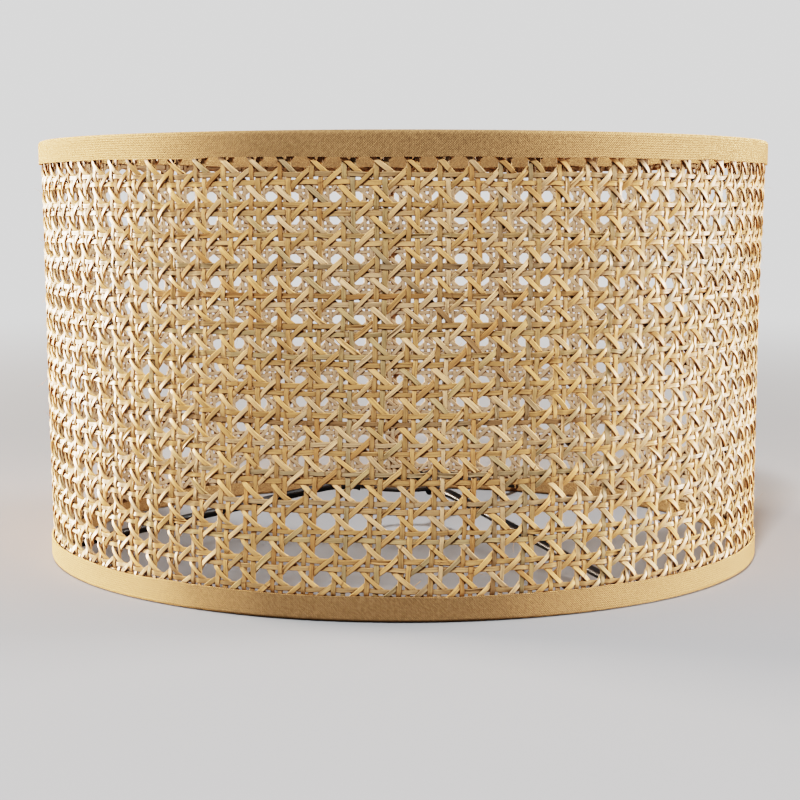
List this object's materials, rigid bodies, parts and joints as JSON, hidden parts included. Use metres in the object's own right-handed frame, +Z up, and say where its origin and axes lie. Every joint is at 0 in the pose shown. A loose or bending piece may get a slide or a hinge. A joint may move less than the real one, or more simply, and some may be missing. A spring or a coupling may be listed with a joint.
{
  "type": "lamp shade",
  "caption": "Drum lamp shade of open cane webbing on wire rings with folded fabric edge tapes and a dropped three-arm spider with an E27 fitter ring.",
  "frame": {"origin": "centre of the bottom rim, on the shade's axis", "axes": "+Z up along the shade's axis; the front faces -Y; the lap joint of the webbing is at the back, at +Y"},
  "size_m": [0.4, 0.4, 0.226],
  "materials": {
    "cane": "natural cane skin with a soft gloss",
    "tape": "beige plain-weave fabric cut on the bias, matt",
    "black_paint": "black gloss powder coat on steel",
    "white_coating": "off-white epoxy coat on steel wire"
  },
  "bodies": {
    "root": {"cane_webbing": "cane", "top_trim": "tape", "bottom_trim": "tape", "top_ring": "white_coating", "bottom_ring": "white_coating", "fitter_ring": "black_paint", "spider_arm_left": "black_paint", "spider_arm_right": "black_paint", "spider_arm_rear": "black_paint"}
  },
  "joints": []
}
